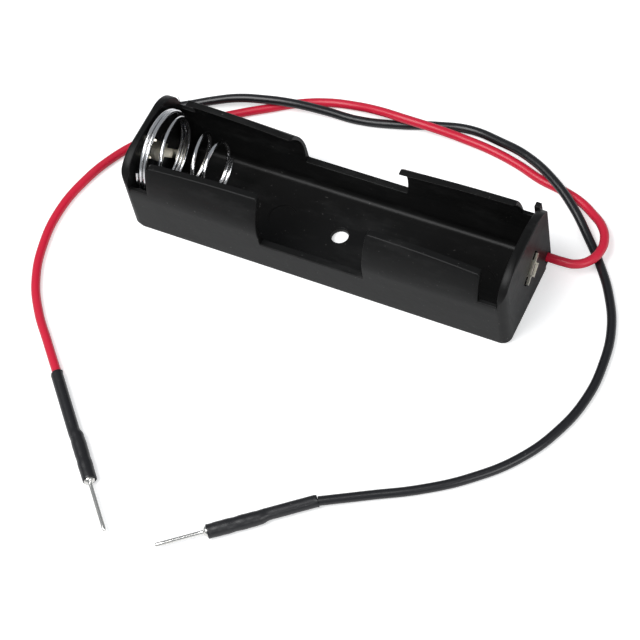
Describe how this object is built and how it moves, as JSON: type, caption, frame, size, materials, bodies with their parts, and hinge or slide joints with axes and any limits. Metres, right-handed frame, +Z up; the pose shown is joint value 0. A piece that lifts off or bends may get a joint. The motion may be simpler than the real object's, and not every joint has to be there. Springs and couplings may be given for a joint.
{
  "type": "cylindrical cell holder",
  "caption": "Open-topped moulded holder for a round cell, with curled snap lips, a conical contact spring, a button contact and leads that end in sleeved pins.",
  "frame": {"origin": "middle of the underside of the housing", "axes": "+X along the cell towards its positive end, where the red lead leaves; +Z up, out of the open top; +Y towards the side where both leads leave"},
  "size_m": [0.0831, 0.0771, 0.0149],
  "materials": {
    "housing_plastic": "satin moulded black plastic",
    "contact_sheet": "nickel-plated sheet",
    "spring_wire": "bright nickel-plated spring wire",
    "solder": "smooth solder",
    "tinned_strands": "tinned strands",
    "red_insulation": "soft satin insulation",
    "black_insulation": "soft satin insulation",
    "sleeve_film": "shrunk sleeve",
    "pin_metal": "tinned pin"
  },
  "bodies": {
    "holder": {"housing": "housing_plastic", "positive_contact": "contact_sheet", "negative_terminal": "contact_sheet", "positive_solder": "solder", "negative_solder": "solder", "red_conductor": "tinned_strands", "black_conductor": "tinned_strands", "red_lead": "red_insulation", "black_lead": "black_insulation", "red_sleeve": "sleeve_film", "black_sleeve": "sleeve_film", "red_pin": "pin_metal", "black_pin": "pin_metal"},
    "spring": {"contact_spring": "spring_wire"}
  },
  "joints": [
    {"name": "spring_travel", "type": "slide", "parent": "holder", "child": "spring", "axis": [-1, 0, 0], "range_m": [0, 0.006], "stiffness_N_per_m": 400, "deforming": ["contact_spring"]}
  ]
}
